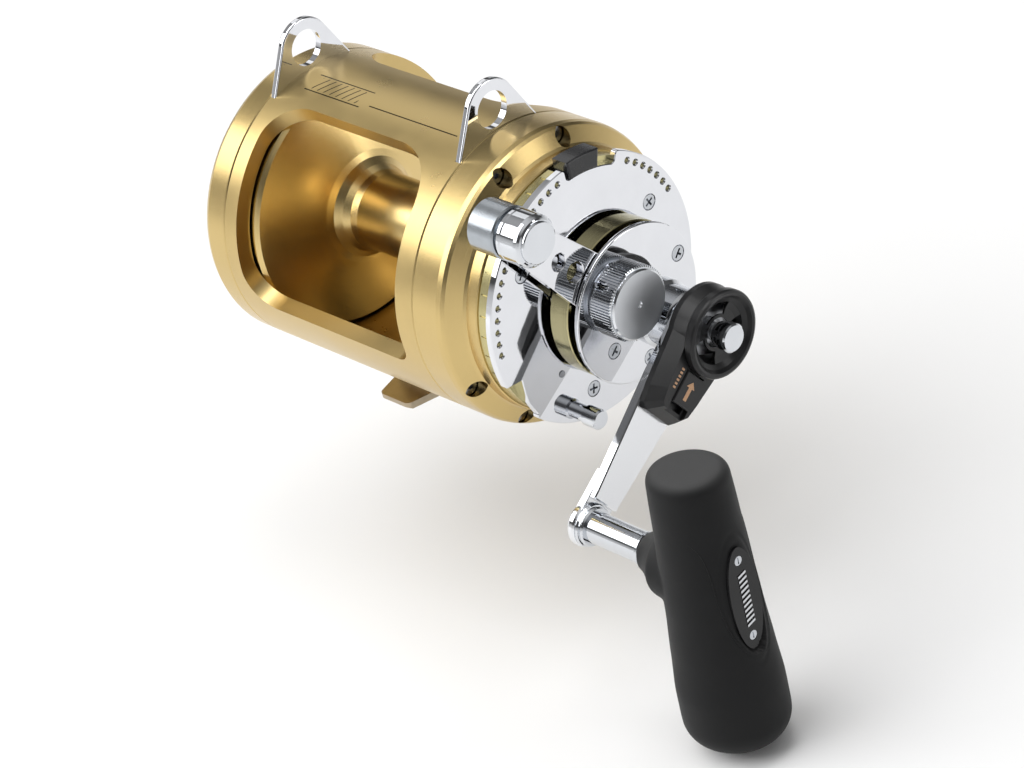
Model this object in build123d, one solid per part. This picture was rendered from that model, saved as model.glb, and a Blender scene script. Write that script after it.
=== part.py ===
"""Two-speed lever-drag trolling reel: every piece as its own STEP file.

Millimetres, +Z up. The origin is the middle of the underside of the reel foot.
X runs along the spool axis towards the handle, Y runs forwards along the rod.
"""
from build123d import *
import math
import os

os.makedirs("parts", exist_ok=True)

# ---------------------------------------------------------------- driving sizes
BODY_R = 60.0                  # outside radius of frame and side plates
AXIS_Z = 62.0                  # spool axis above the foot's underside
SEAM_X = 55.0                  # seam between the frame and the handle-side plate
FRAME_LEN = 110.0              # frame length between its two end faces
FRAME_IN_R = 53.2              # inside radius of the frame
SPOOL_RIM_R = 52.4             # radius of the spool's flanges
ARBOR_R = 16.0                 # radius of the spool's core
PLATE_FACE = 26.5              # outer face of the handle-side plate
QUADRANT_TOP = 36.0            # outer face of the chrome quadrant plate
QUADRANT_R = 53.5
SPACER_TOP = 40.7              # top of the brass spacer ring
DISC_BOTTOM = 45.0
DISC_TOP = 47.0                # outer face of the chrome cover disc
DISC_R = 32.0
KNOB_TOP = 60.6                # outer face of the preset knob
ARM_LOW = 63.2                 # handle arm, inner face
ARM_TOP = 67.0                 # handle arm, outer face
HUB_RIM = 80.2                 # rim of the dished hub ring
BUTTON_TOP = 85.0
GRIP_X = 126.0                 # middle of the grip, from the seam
SHAFT_Y = 21.2                 # handle shaft, from the spool axis
SHAFT_Z = -20.0
RUN = 0.05                     # radial running clearance

CENTRE_DIST = math.hypot(SHAFT_Y, SHAFT_Z)
SHAFT_ANGLE = math.degrees(math.atan2(SHAFT_Z, SHAFT_Y))
DISC_Y = SHAFT_Y / 2           # cover disc is centred midway between the two axes
DISC_Z = SHAFT_Z / 2
CRANK_Y = -49.4                # grip axle, from the spool axis
CRANK_Z = -69.0
CRANK_ANGLE = math.degrees(math.atan2(CRANK_Z - SHAFT_Z, CRANK_Y - SHAFT_Y))
CRANK_LEN = math.hypot(CRANK_Z - SHAFT_Z, CRANK_Y - SHAFT_Y)
LEVER_ANGLE = 128.5            # drag lever at rest, from +Y towards +Z
LEVER_R = 64.2                 # lever knob's distance from the spool axis

parts = {}


# ---------------------------------------------------------------- helpers
def at(x, y=0.0, z=0.0):
    """Place a shape at x from the seam and (y, z) from the spool axis."""
    return Pos(SEAM_X + x, y, AXIS_Z + z)


def polar(radius, degrees):
    angle = math.radians(degrees)
    return radius * math.cos(angle), radius * math.sin(angle)


def rod(x0, x1, radius, y=0.0, z=0.0):
    """Solid cylinder along X."""
    return at((x0 + x1) / 2, y, z) * Rot(0, 90, 0) * Cylinder(radius, x1 - x0)


def tube(x0, x1, outer, inner, y=0.0, z=0.0):
    """Hollow cylinder along X."""
    return rod(x0, x1, outer, y, z) - rod(x0 - 1, x1 + 1, inner, y, z)


def face_plane(x):
    """Plane at x whose sketch axes are Y and Z, measured from the spool axis."""
    return Plane(origin=(SEAM_X + x, 0, AXIS_Z), x_dir=(0, 1, 0), z_dir=(1, 0, 0))


def slab(x0, x1, sketch):
    """Extrude a (y, z) sketch from x0 to x1."""
    return extrude(face_plane(x0) * sketch, x1 - x0)


def turned(points, y=0.0, z=0.0):
    """Solid of revolution about X from (x, radius) points."""
    line = Polyline(*[(px, pr) for px, pr in points], close=True)
    face = Plane.XZ * make_face(line)
    return at(0, y, z) * revolve(face, Axis.X, 360)


def round_edges(shape, radius, keep):
    """Fillet the circular edges that pass the test keep(edge)."""
    edges = [e for e in shape.edges() if keep(e)]
    return fillet(edges, radius)


def at_x(x, radius=None):
    """Test for an edge lying in the plane x from the seam."""
    def test(edge):
        box = edge.bounding_box()
        flat = abs(box.min.X - SEAM_X - x) < 0.01 and abs(box.max.X - SEAM_X - x) < 0.01
        if not flat:
            return False
        if radius is None:
            return True
        return edge.geom_type == GeomType.CIRCLE and abs(edge.radius - radius) < 0.01
    return test


def gear_sketch(teeth, module, bore, turn=0.0, thin=0.10):
    """Spur gear outline with involute flanks; thin is the backlash taken off a tooth."""
    pitch_r = teeth * module / 2
    base_r = pitch_r * math.cos(math.radians(20))
    tip_r = pitch_r + module
    root_r = pitch_r - 1.25 * module
    half = math.pi / (2 * teeth) - thin / (2 * pitch_r)
    inv_pitch = math.tan(math.radians(20)) - math.radians(20)
    flank = []
    for step in range(5):
        r = max(base_r, root_r) + (tip_r - max(base_r, root_r)) * step / 4
        pressure = math.acos(min(1.0, base_r / r))
        flank.append((r, half + inv_pitch - (math.tan(pressure) - pressure)))
    flank.insert(0, (root_r, flank[0][1] + 0.002))
    points = []
    for tooth in range(teeth):
        middle = math.radians(turn) + 2 * math.pi * tooth / teeth
        for r, a in flank:
            points.append((r * math.cos(middle - a), r * math.sin(middle - a)))
        for r, a in reversed(flank):
            points.append((r * math.cos(middle + a), r * math.sin(middle + a)))
    face = make_face(Polyline(*points, close=True))
    return face - Circle(bore)


def ratchet_sketch(teeth, tip_r, root_r, bore):
    """Saw-tooth wheel outline."""
    points = []
    for tooth in range(teeth):
        start = 360 * tooth / teeth
        points.append(polar(tip_r, start))
        points.append(polar(root_r, start + 1.5))
        points.append(polar((tip_r + root_r) / 2, start + 200 / teeth))
    return make_face(Polyline(*points, close=True)) - Circle(bore)


def cap_screw(x_top, x_end, y, z, head_r=2.6, head_h=2.6, shank_r=1.45):
    """Socket-head screw along X with its head at the outer end."""
    way = 1 if x_top > x_end else -1
    neck = x_top - way * head_h
    head = rod(min(x_top, neck), max(x_top, neck), head_r, y, z)
    shank = rod(min(neck, x_end), max(neck, x_end), shank_r, y, z)
    socket_x = x_top - way * 1.4
    socket = slab(min(x_top, socket_x) - 0.01, max(x_top, socket_x) + 0.01,
                  Pos(y, z) * RegularPolygon(1.35, 6))
    return head + shank - socket


def cross_screw(x_top, x_end, y, z, head_r=3.4, turn=20.0):
    """Countersunk cross-head screw along X, head flush at x_top."""
    cone_h = head_r - 1.5
    screw = turned([(x_end, 0), (x_end, 1.5), (x_top - cone_h, 1.5),
                    (x_top - 0.6, head_r - 0.45), (x_top, head_r - 0.45), (x_top, 0)], y, z)
    blade = Rectangle(head_r * 1.2, 0.9) + Rectangle(0.9, head_r * 1.2)
    cross = slab(x_top - 1.1, x_top + 0.1, Pos(y, z) * Rot(0, 0, turn) * blade)
    return screw - cross


def screw_seat(x_top, x_end, y, z, head_r=3.4):
    """Hole that a cross_screw sits in."""
    cone_h = head_r - 1.5
    return turned([(x_end, 0), (x_end, 1.5 + RUN), (x_top - cone_h, 1.5 + RUN),
                   (x_top - 0.2, head_r), (x_top + 1, head_r), (x_top + 1, 0)], y, z)


def bearing(x0, width, inner_r, outer_r, y=0.0, z=0.0):
    """Ball bearing: two rings and a circle of balls, as separate solids."""
    middle_r = (inner_r + outer_r) / 2
    ball_r = (outer_r - inner_r) * 0.28
    gap = (outer_r - inner_r) * 0.17
    groove = at(x0 + width / 2, y, z) * Rot(0, 90, 0) * Torus(middle_r, ball_r + 0.05)
    outer = tube(x0, x0 + width, outer_r, middle_r + gap, y, z) - groove
    inner = tube(x0, x0 + width, middle_r - gap, inner_r, y, z) - groove
    balls = []
    count = int(2 * math.pi * middle_r / (ball_r * 2.5))
    for k in range(count):
        by, bz = polar(middle_r, 360 * k / count)
        balls.append(at(x0 + width / 2, y + by, z + bz) * Sphere(ball_r))
    return Compound(children=[outer, inner] + balls)


def coil(x0, x1, mean_r, wire_r, turns, y=0.0, z=0.0):
    """Compression spring along X."""
    height = x1 - x0 - 2 * wire_r
    path = Helix(pitch=height / turns, height=height, radius=mean_r)
    section = Plane(origin=path @ 0, z_dir=path % 0) * Circle(wire_r)
    wire = sweep(section, path=path)
    return at(x0 + wire_r, y, z) * Rot(0, 90, 0) * wire


# ---------------------------------------------------------------- frame
PLATE_SCREW_ANGLES = [74.0, 107.7, 202.3, 236.0, 320.5, 353.5]
PLATE_SCREW_R = 55.8
LEFT_SCREW_R = 55.0
LUG_HALF = 1.5                 # half thickness of a harness lug
LUG_X = [-108.3, -1.7]         # middle of each lug
LUG_EYE_Z = 68.7
LUG_EYE_R = 7.5
LUG_SEAT_R = 58.4              # the lugs sit in slots this deep in the frame
REAR_CORNERS = [18.0, 24.0, 15.0, 7.5]
FRONT_CORNERS = [16.0, 16.0, 16.0, 16.0]
FOOT_SCREWS = [(-66.0, -15.0), (-44.0, -15.0), (-66.0, 15.0), (-44.0, 15.0)]


def window(x0, x1, start, end, corners, inner=45.0, outer=66.0):
    """Opening through the frame wall between two angles.

    The corner radii are given in this order: start at x0, start at x1, end at x0, end at x1.
    """
    section = Polyline((x0, inner), (x1, inner), (x1, outer), (x0, outer), close=True)
    wedge = revolve(Plane.XZ * make_face(section), Axis.X, end - start)
    radial = [e for e in wedge.edges()
              if e.geom_type == GeomType.LINE and abs(e.length - (outer - inner)) < 0.01]
    for edge in radial:
        at_end = abs(edge.center().Y) > 1.0
        at_right = abs(edge.center().X - x1) < 0.1
        same = [e for e in wedge.edges() if e.geom_type == GeomType.LINE
                and (e.center() - edge.center()).length < 0.01]
        wedge = fillet(same, corners[2 * at_end + at_right])
    # the sketch plane stands at +Z, so a turn of start - 90 puts its first edge in place
    return at(0) * Rot(start - 90, 0, 0) * wedge


def lug_outline(grow=0.0):
    """Harness lug in the YZ plane: eye at the top, spreading feet on the body."""
    eye_r = 12.4
    foot_y, foot_z = 20.6, 56.3
    tangent = math.degrees(math.atan2(LUG_EYE_Z - foot_z, foot_y))
    reach = math.hypot(foot_y, LUG_EYE_Z - foot_z)
    lean = math.degrees(math.acos(eye_r / reach))
    side = polar(eye_r, -tangent + lean)
    body = make_face(Polyline((-foot_y, foot_z), (-foot_y, 45), (foot_y, 45), (foot_y, foot_z),
                              (side[0], LUG_EYE_Z + side[1]), (-side[0], LUG_EYE_Z + side[1]),
                              close=True))
    body = body + Pos(0, LUG_EYE_Z) * Circle(eye_r)
    return body - Circle(LUG_SEAT_R - grow)


def build_frame():
    body = tube(-FRAME_LEN, 0, BODY_R, FRAME_IN_R)
    body = body - window(-102.6, -9.6, 109.5, 194.5, REAR_CORNERS)
    body = body - window(-101.0, -9.0, -45.0, 72.5, FRONT_CORNERS)
    rims = [e for e in body.edges() if e.geom_type == GeomType.CIRCLE
            and abs(e.radius - BODY_R) < 0.01 and abs(e.length - 2 * math.pi * BODY_R) < 0.1]
    body = chamfer(rims, 0.5)
    for middle in LUG_X:
        body = body - slab(middle - LUG_HALF, middle + LUG_HALF, lug_outline())
    for angle in PLATE_SCREW_ANGLES:
        y, z = polar(PLATE_SCREW_R, angle)
        body = body - rod(-8.3, 1, 1.5, y, z)
        y, z = polar(LEFT_SCREW_R, angle)
        body = body - rod(-FRAME_LEN - 1, -104.3, 1.5, y, z)
    for x, y in FOOT_SCREWS:
        hole = Pos(SEAM_X + x, y, 6) * Cylinder(1.6, 20)
        seat = Pos(SEAM_X + x, y, AXIS_Z - 48.0) * Cylinder(3.3, 10)
        body = body - hole - seat
    return body


def build_lugs():
    lugs = []
    for middle in LUG_X:
        lug = slab(middle - LUG_HALF, middle + LUG_HALF, lug_outline())
        lug = lug - rod(middle - 3, middle + 3, LUG_EYE_R, 0, LUG_EYE_Z)
        bevel = [e for e in lug.edges() if e.geom_type == GeomType.CIRCLE
                 and abs(e.radius - 12.4) < 0.01]
        lugs.append(fillet(bevel, 0.8))
    parts["harness_lugs"] = Compound(children=lugs)


def build_foot():
    # outline seen from above, long way along the rod
    outline = Polyline((-12.5, -22), (-8.3, -38), (8.3, -38), (12.5, -22),
                       (12.5, 22), (8.3, 38), (-8.3, 38), (-12.5, 22), close=True)
    mid = SEAM_X - FRAME_LEN / 2
    plan = Pos(mid, 0, 0) * extrude(make_face(outline), 16)
    tips = [e for e in plan.edges().filter_by(Axis.Z) if abs(e.center().Y) > 30]
    plan = fillet(tips, 3.0)
    lower = Pos(mid, 0, 1.5) * Box(60, 100, 3.0)
    saddle = Pos(mid, 0, 8) * Box(60, 50, 16)
    foot = plan & (lower + saddle)
    foot = foot - rod(-FRAME_LEN, 0, BODY_R)
    # the tips curl up a little underneath
    for side in (-1, 1):
        foot = foot - Pos(mid, side * 48, -18.6) * Rot(0, 90, 0) * Cylinder(22, 60)
    for x, y in FOOT_SCREWS:
        foot = foot - Pos(SEAM_X + x, y, 6) * Cylinder(1.6, 30)
    parts["reel_foot"] = foot


def build_foot_screws():
    screws = []
    for x, y in FOOT_SCREWS:
        shank = Pos(SEAM_X + x, y, 5.4) * Cylinder(1.55, 8.0)
        neck = Pos(SEAM_X + x, y, 8.0) * Cylinder(1.55, 4.0)
        head = Pos(SEAM_X + x, y, AXIS_Z - 53.0 + 1.5) * Cylinder(3.0, 3.0)
        socket = Pos(SEAM_X + x, y, AXIS_Z - 50.0) * extrude(RegularPolygon(1.5, 6), 1.2, both=True)
        screws.append(shank + neck + head - socket)
    parts["foot_screws"] = Compound(children=screws)


# ---------------------------------------------------------------- side plates
GEAR_ROOM = 22.0               # the gear room ends here, under its cover
LEFT_FACE = -124.3


def build_left_plate():
    profile = [(-110, BODY_R - 0.5), (-110.5, BODY_R), (-119.8, BODY_R), (-121.6, 59.2),
               (-123.0, 57.9), (-123.9, 56.2), (-124.3, 54.2), (-124.3, 44.0), (-123.3, 43.0),
               (-123.3, 20.0), (-124.8, 18.5), (-124.8, 0), (-118, 0), (-118, 11), (-110, 11),
               (-110, 16), (-118.5, 17.5), (-118.5, 50), (-110, 50)]
    plate = turned(profile)
    plate = plate - rod(-119.4, -117.9, 6.0)
    plate = plate - slab(-126, -117, Pos(0, -30) * Rectangle(8.2, 13.2))
    for angle in PLATE_SCREW_ANGLES:
        y, z = polar(LEFT_SCREW_R, angle)
        plate = plate - rod(-126, -119.0, 3.5, y, z) - rod(-126, -109, 1.6, y, z)
    parts["left_side_plate"] = plate


def build_right_plate():
    profile = [(0, 11), (0, BODY_R - 0.5), (0.5, BODY_R), (13.0, BODY_R), (15.2, 59.6),
               (16.6, 58.8), (20.2, 52.9), (21.4, 52.1), (PLATE_FACE - 0.4, 51.8),
               (PLATE_FACE, 51.4), (PLATE_FACE, 50), (5.4, 50), (5.4, 11)]
    plate = turned(profile)
    plate = plate - rod(5.4, 20.5, 24.2, SHAFT_Y, SHAFT_Z)
    plate = plate - rod(1.0, 6.0, 8.0, SHAFT_Y, SHAFT_Z)
    for angle in PLATE_SCREW_ANGLES:
        y, z = polar(PLATE_SCREW_R, angle)
        plate = plate - rod(11.4, 30, 3.6, y, z) - rod(-1, 30, 1.6, y, z)
    parts["right_side_plate"] = plate


def build_plate_screws():
    right = []
    left = []
    for angle in PLATE_SCREW_ANGLES:
        y, z = polar(PLATE_SCREW_R, angle)
        right.append(cap_screw(14.8, -8.0, y, z, head_r=3.1, head_h=3.4, shank_r=1.45))
        y, z = polar(LEFT_SCREW_R, angle)
        left.append(cap_screw(-122.4, -104.6, y, z, head_r=3.2, head_h=3.4, shank_r=1.45))
    parts["right_plate_screws"] = Compound(children=right)
    parts["left_plate_screws"] = Compound(children=left)


def build_clicker():
    # sliding button on the left plate, with the pawl it carries inside
    thumb = slab(-127.6, -123.4, Pos(0, -30) * RectangleRounded(11.0, 9.0, 2.0))
    for k in (-2, -1, 0, 1, 2):
        thumb = thumb - at(-127.6, 0, -30 + 1.5 * k) * Box(1.0, 14, 0.6)
    stem = slab(-123.4, -109.4, Pos(0, -30) * Rectangle(6.0, 7.0))
    parts["clicker_button"] = thumb + stem
    pawl = slab(-109.4, -106.0, make_face(Polyline((-3, -34), (3, -34), (3, -24), (0, -19.4),
                                                  (-3, -24), close=True)))
    parts["clicker_pawl"] = pawl
    wheel = slab(-109.6, -105.4, ratchet_sketch(24, 15.6, 13.6, 7.0))
    parts["clicker_ratchet"] = wheel
    cap = turned([(-124.8, 0), (-124.8, 12.0), (-126.3, 12.0), (-127.1, 11.2), (-127.1, 0)])
    cap = cap - at(-127.1) * Box(2.0, 20.0, 1.8)
    parts["left_cap"] = cap


# ---------------------------------------------------------------- spool group
def build_spool():
    profile = [(-103.6, 7), (-103.6, 30), (-101.8, 32), (-101.8, 49.8), (-103.6, 50.6),
               (-103.6, SPOOL_RIM_R - 0.6), (-103.0, SPOOL_RIM_R), (-100.8, SPOOL_RIM_R),
               (-100.2, SPOOL_RIM_R - 0.6), (-99.2, 50.9), (-90.6, 23.5), (-89.4, 20.8),
               (-87.0, 18.2), (-84.2, 16.6), (-81.0, ARBOR_R), (-29.0, ARBOR_R), (-25.8, 16.6),
               (-23.0, 18.2), (-20.6, 20.8), (-19.4, 23.5), (-10.8, 50.9),
               (-9.8, SPOOL_RIM_R - 0.6), (-9.2, SPOOL_RIM_R), (-7.0, SPOOL_RIM_R),
               (-6.4, SPOOL_RIM_R - 0.6), (-6.4, 45.5), (-7.4, 44.0), (-12.0, 39.0),
               (-12.0, 12), (-12.0, 7)]
    parts["spool"] = turned(profile)
    parts["spool_shaft"] = turned([(-117.4, 0), (-117.4, 4.95), (-110.4, 4.95), (-110.4, 7),
                                   (-1.0, 7), (-1.0, 4.95), (6.2, 4.95), (6.2, 4.5), (49.0, 4.5),
                                   (50.0, 3.5), (50.0, 0)])
    parts["drag_washer"] = tube(-12.0, -9.8, 37.5, 16.0)
    parts["pressure_plate"] = turned([(-9.8, 7), (-9.8, 38.5), (-7.4, 38.5), (-6.9, 38.0),
                                      (-6.9, 20), (-4.2, 15), (-4.2, 7)])
    parts["left_spool_bearing"] = bearing(-116.0, 5.0, 5.0, 11.0)
    parts["right_spool_bearing"] = bearing(0.2, 5.0, 5.0, 11.0)
    parts["outer_shaft_bearing"] = bearing(22.2, 4.0, 4.55, 9.0)


# ---------------------------------------------------------------- gear train
HIGH_TEETH = (62, 20)
LOW_TEETH = (39, 30)


def build_gears():
    high_module = 2 * CENTRE_DIST / sum(HIGH_TEETH)
    low_module = 2 * CENTRE_DIST / sum(LOW_TEETH)
    to_spool = SHAFT_ANGLE + 180
    wheels = (("high_gear", HIGH_TEETH[0], high_module, 5.5, 8.0, 12.0, True),
              ("low_gear", LOW_TEETH[0], low_module, 5.5 + RUN, 13.6, 17.6, True),
              ("high_pinion", HIGH_TEETH[1], high_module, 4.5, 7.4, 12.6, False),
              ("low_pinion", LOW_TEETH[1], low_module, 4.5, 13.0, 18.2, False))
    for name, teeth, module, bore, x0, x1, on_handle in wheels:
        if on_handle:
            # a tooth points at the spool axis
            sketch = Pos(SHAFT_Y, SHAFT_Z) * gear_sketch(teeth, module, bore, to_spool)
        else:
            # a gap points at the handle shaft
            sketch = gear_sketch(teeth, module, bore, SHAFT_ANGLE + 180.0 / teeth)
        parts[name] = slab(x0, x1, sketch)
    hole_r = high_module * HIGH_TEETH[0] / 2 * 0.62
    wheel = parts["high_gear"]
    for k in range(5):
        y, z = polar(hole_r, 72 * k + 20)
        wheel = wheel - rod(7, 13, 3.2, SHAFT_Y + y, SHAFT_Z + z)
    parts["high_gear"] = wheel


def build_handle_shaft():
    outer = turned([(1.2, 0), (1.2, 4.0), (5.6, 4.0), (5.6, 5.5), (ARM_TOP - 4.6, 5.5),
                    (ARM_TOP - 4.6, 5.0), (73.5, 5.0), (73.5, 0)], SHAFT_Y, SHAFT_Z)
    parts["handle_shaft"] = outer - rod(10, 80, 2.0 + RUN, SHAFT_Y, SHAFT_Z)
    parts["handle_shaft_bearing"] = bearing(1.2, 4.0, 4.05, 8.0, SHAFT_Y, SHAFT_Z)
    ratchet = Pos(SHAFT_Y, SHAFT_Z) * ratchet_sketch(18, 12.4, 10.6, 5.5)
    parts["anti_reverse_ratchet"] = slab(18.8, 20.6, ratchet)
    sleeve = turned([(GEAR_ROOM + 0.2, 5.5 + RUN), (GEAR_ROOM + 0.2, 10.0), (DISC_TOP, 10.0),
                     (DISC_TOP, 13.4), (DISC_TOP + 2.2, 13.4), (DISC_TOP + 3.4, 12.2),
                     (60.2, 12.2), (61.4, 11.0), (61.4, 5.5 + RUN)], SHAFT_Y, SHAFT_Z)
    parts["shaft_sleeve"] = sleeve


PAWL_R = 18.0                  # pawl pivots, from the handle shaft
PAWL_ANGLES = [80.0, 190.0]
PAWL_REACH = 12.8              # from a pawl's pivot to its tip


def pawl_centre(angle):
    y, z = polar(PAWL_R, angle)
    return SHAFT_Y + y, SHAFT_Z + z


def build_pawls():
    for name, angle in zip(("upper_pawl", "lower_pawl"), PAWL_ANGLES):
        y, z = pawl_centre(angle)
        # the tip stops just clear of the ratchet's teeth
        arm = Circle(2.6) + make_face(Polyline((0, -2.4), (0, 2.4), (5.0, 1.8), (8.0, 0.7),
                                              (10.4, 0.0), (PAWL_REACH, -0.3),
                                              (PAWL_REACH - 1.6, -2.3), close=True))
        sketch = Pos(y, z) * Rot(0, 0, angle + 135.6) * (arm - Circle(1.25 + RUN))
        parts[name] = slab(18.8, 20.6, sketch)
    pins = []
    for angle in PAWL_ANGLES:
        y, z = pawl_centre(angle)
        pins.append(rod(18.4, GEAR_ROOM, 1.25, y, z))
    parts["pawl_pins"] = Compound(children=pins)


# ---------------------------------------------------------------- outer works
RING_R = 51.0
QUAD_SCREWS = [(40.0, 27.2), (41.5, 255.6), (40.5, 143.0)]
DISC_SCREWS = [(35.1, -1.3), (-5.5, -22.1), (11.4, -35.0)]
LEFT_HOLES = [97.4 + 5.6 * k for k in range(16)]
RIGHT_HOLES = [54.3 - 5.42 * k for k in range(7)]
HOLE_R = 49.8
BUTTON_MIN, BUTTON_MAX = 74.0, 91.0
BUTTON_IN, BUTTON_OUT = 48.6, 56.0
BUTTON_HIGH = 37.4             # outer face of the strike button
PEG_Y, PEG_Z = -19.2, -45.6
DOWEL_Y, DOWEL_Z = -24.0, -25.1


def sector(r0, r1, start, end):
    """Part of a ring between two angles, as a sketch."""
    steps = 12
    outer = [polar(r1, start + (end - start) * k / steps) for k in range(steps + 1)]
    inner = [polar(r0, end + (start - end) * k / steps) for k in range(steps + 1)]
    return make_face(Polyline(*(outer + inner), close=True))


def build_gear_cover():
    cover = rod(GEAR_ROOM, PLATE_FACE, 50 - RUN)
    cover = cover - rod(21, 27, 9.0)
    cover = cover - rod(21, 27, 10.0 + RUN, SHAFT_Y, SHAFT_Z)
    for angle in PAWL_ANGLES:
        y, z = pawl_centre(angle)
        cover = cover - rod(21, GEAR_ROOM + 2.5, 1.25, y, z)
    parts["gear_cover"] = cover - rod(PLATE_FACE - 1.0, 27, 1.4 + RUN, DOWEL_Y, DOWEL_Z)
    parts["quadrant_dowel"] = rod(PLATE_FACE - 1.0, QUADRANT_TOP + 0.3, 1.4, DOWEL_Y, DOWEL_Z)


def build_index_ring():
    ring = tube(PLATE_FACE, QUADRANT_TOP - 2.6, RING_R, 43.0)
    ring = ring - slab(PLATE_FACE - 1, QUADRANT_TOP, sector(41, 53, BUTTON_MIN - 1.2,
                                                            BUTTON_MAX + 1.2))
    # engraved index marks round the visible side
    for k in range(11):
        angle = 98 + 9.5 * k
        y, z = polar(RING_R, angle)
        mark = Rot(angle, 0, 0) * Box(3.2, 0.8, 0.45)
        ring = ring - at(29.2, y, z) * mark
    parts["index_ring"] = ring


def quadrant_outline():
    plate = Circle(QUADRANT_R)
    notch = sector(48.2, 60, 62.5, 92.0)
    plate = plate - notch
    bite = make_face(Polyline(polar(46.3, 201.0), polar(55.5, 196.0), polar(57, 222.0),
                              polar(52.2, 221.0), polar(50.6, 213.0), polar(48.8, 208.0),
                              close=True))
    plate = plate - bite
    corners = [v for v in plate.vertices()
               if 44 < math.hypot(v.X, v.Y) < 54]
    sharp = [v for v in corners if math.hypot(v.X, v.Y) > 53.0 or abs(
        math.degrees(math.atan2(v.Y, v.X)) - 62.5) < 0.5 or abs(
        math.degrees(math.atan2(v.Y, v.X)) - 92.0) < 0.5]
    return fillet(sharp, 1.6)


def build_quadrant():
    low = QUADRANT_TOP - 2.6
    plate = slab(low, QUADRANT_TOP, quadrant_outline())
    rim = [e for e in plate.edges() if at_x(QUADRANT_TOP)(e)]
    plate = chamfer(rim, 0.35)
    plate = plate - rod(low - 1, QUADRANT_TOP + 1, 9.0)
    plate = plate - rod(low - 1, QUADRANT_TOP + 1, 10.0 + RUN, SHAFT_Y, SHAFT_Z)
    for angle in LEFT_HOLES + RIGHT_HOLES:
        y, z = polar(HOLE_R, angle)
        plate = plate - rod(low - 1, QUADRANT_TOP + 1, 1.05, y, z)
        plate = plate - turned([(QUADRANT_TOP - 0.5, 0), (QUADRANT_TOP - 0.5, 1.0),
                                (QUADRANT_TOP + 0.2, 1.7), (QUADRANT_TOP + 0.2, 0)], y, z)
    screws = []
    for radius, angle in QUAD_SCREWS:
        y, z = polar(radius, angle)
        plate = plate - screw_seat(QUADRANT_TOP - 0.15, PLATE_FACE - 1, y, z)
        screws.append(cross_screw(QUADRANT_TOP - 0.15, PLATE_FACE + 0.2, y, z, turn=angle))
    plate = plate - rod(low - 1, QUADRANT_TOP + 1, 1.4 + RUN, DOWEL_Y, DOWEL_Z)
    plate = plate - rod(low - 1, QUADRANT_TOP + 1, 3.0, PEG_Y, PEG_Z)
    parts["quadrant_plate"] = plate
    parts["quadrant_screws"] = Compound(children=screws)


def build_peg():
    parts["keeper_post"] = turned([(QUADRANT_TOP - 2.6, 0), (QUADRANT_TOP - 2.6, 3.0),
                                   (QUADRANT_TOP, 3.0), (QUADRANT_TOP, 3.3), (39.6, 3.3),
                                   (40.3, 4.1), (46.5, 4.1), (47.2, 3.4), (47.2, 0)],
                                  PEG_Y, PEG_Z)


def build_strike_button():
    block = slab(29.4, BUTTON_HIGH, sector(BUTTON_IN, BUTTON_OUT, BUTTON_MIN, BUTTON_MAX))
    top = [e for e in block.edges() if at_x(BUTTON_HIGH)(e)]
    block = fillet(top, 0.8)
    y, z = polar(47.0, (BUTTON_MIN + BUTTON_MAX) / 2)
    foot = slab(29.4, 32.4, sector(44.4, BUTTON_IN, BUTTON_MIN + 2, BUTTON_MAX - 2))
    parts["strike_button"] = block + foot - rod(29.0, 31.2, 1.9, y, z)
    parts["strike_button_spring"] = coil(PLATE_FACE, 31.2, 1.3, 0.25, 4, y, z)


def build_spacer():
    # brass cup with three posts that carry the cover disc
    cup = turned([(QUADRANT_TOP, 0), (QUADRANT_TOP, 31.4), (SPACER_TOP - 0.4, 31.4),
                  (SPACER_TOP, 31.0), (SPACER_TOP, 29.6), (QUADRANT_TOP + 1.2, 29.6),
                  (QUADRANT_TOP + 1.2, 0)], DISC_Y, DISC_Z)
    cup = cup - rod(30, 50, 9.0) - rod(30, 50, 10.0 + RUN, SHAFT_Y, SHAFT_Z)
    for y, z in DISC_SCREWS:
        cup = cup + rod(QUADRANT_TOP, DISC_BOTTOM, 3.4, y, z)
        cup = cup - rod(38, 46, 1.5 + RUN, y, z)
    parts["spacer_ring"] = cup


def build_cover_disc():
    disc = rod(DISC_BOTTOM, DISC_TOP, DISC_R, DISC_Y, DISC_Z)
    disc = round_edges(disc, 0.7, at_x(DISC_TOP, DISC_R))
    disc = round_edges(disc, 0.4, at_x(DISC_BOTTOM, DISC_R))
    disc = disc - rod(40, 50, 9.2)
    disc = disc - rod(40, 50, 10.0 + RUN, SHAFT_Y, SHAFT_Z)
    screws = []
    for y, z in DISC_SCREWS:
        disc = disc - screw_seat(DISC_TOP - 0.1, DISC_BOTTOM - 1, y, z)
        screws.append(cross_screw(DISC_TOP - 0.1, 39.0, y, z, turn=y * 9))
    parts["cover_disc"] = disc
    parts["disc_screws"] = Compound(children=screws)


# ---------------------------------------------------------------- drag lever
LEVER_LOW = 41.2
LEVER_TOP = 44.6
LEVER_CAP_TOP = 60.4           # the handle's boss passes just over this


def lever_outline():
    """Lever seen along X, pointing along +Y before it is turned into place."""
    hub = Circle(15.0)
    arm = make_face(Polyline((6, -11.0), (20, -10.4), (44, -8.8), (LEVER_R, -7.6),
                             (LEVER_R, 7.6), (44, 8.8), (20, 10.4), (6, 11.0), close=True))
    tip = Pos(LEVER_R, 0) * Circle(7.6)
    holes = Pos(22.6, 0) * Circle(4.2) + Pos(33.2, 0) * Circle(3.5)
    return Rot(0, 0, LEVER_ANGLE) * (hub + arm + tip - holes - Circle(8.6 + RUN))


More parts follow.
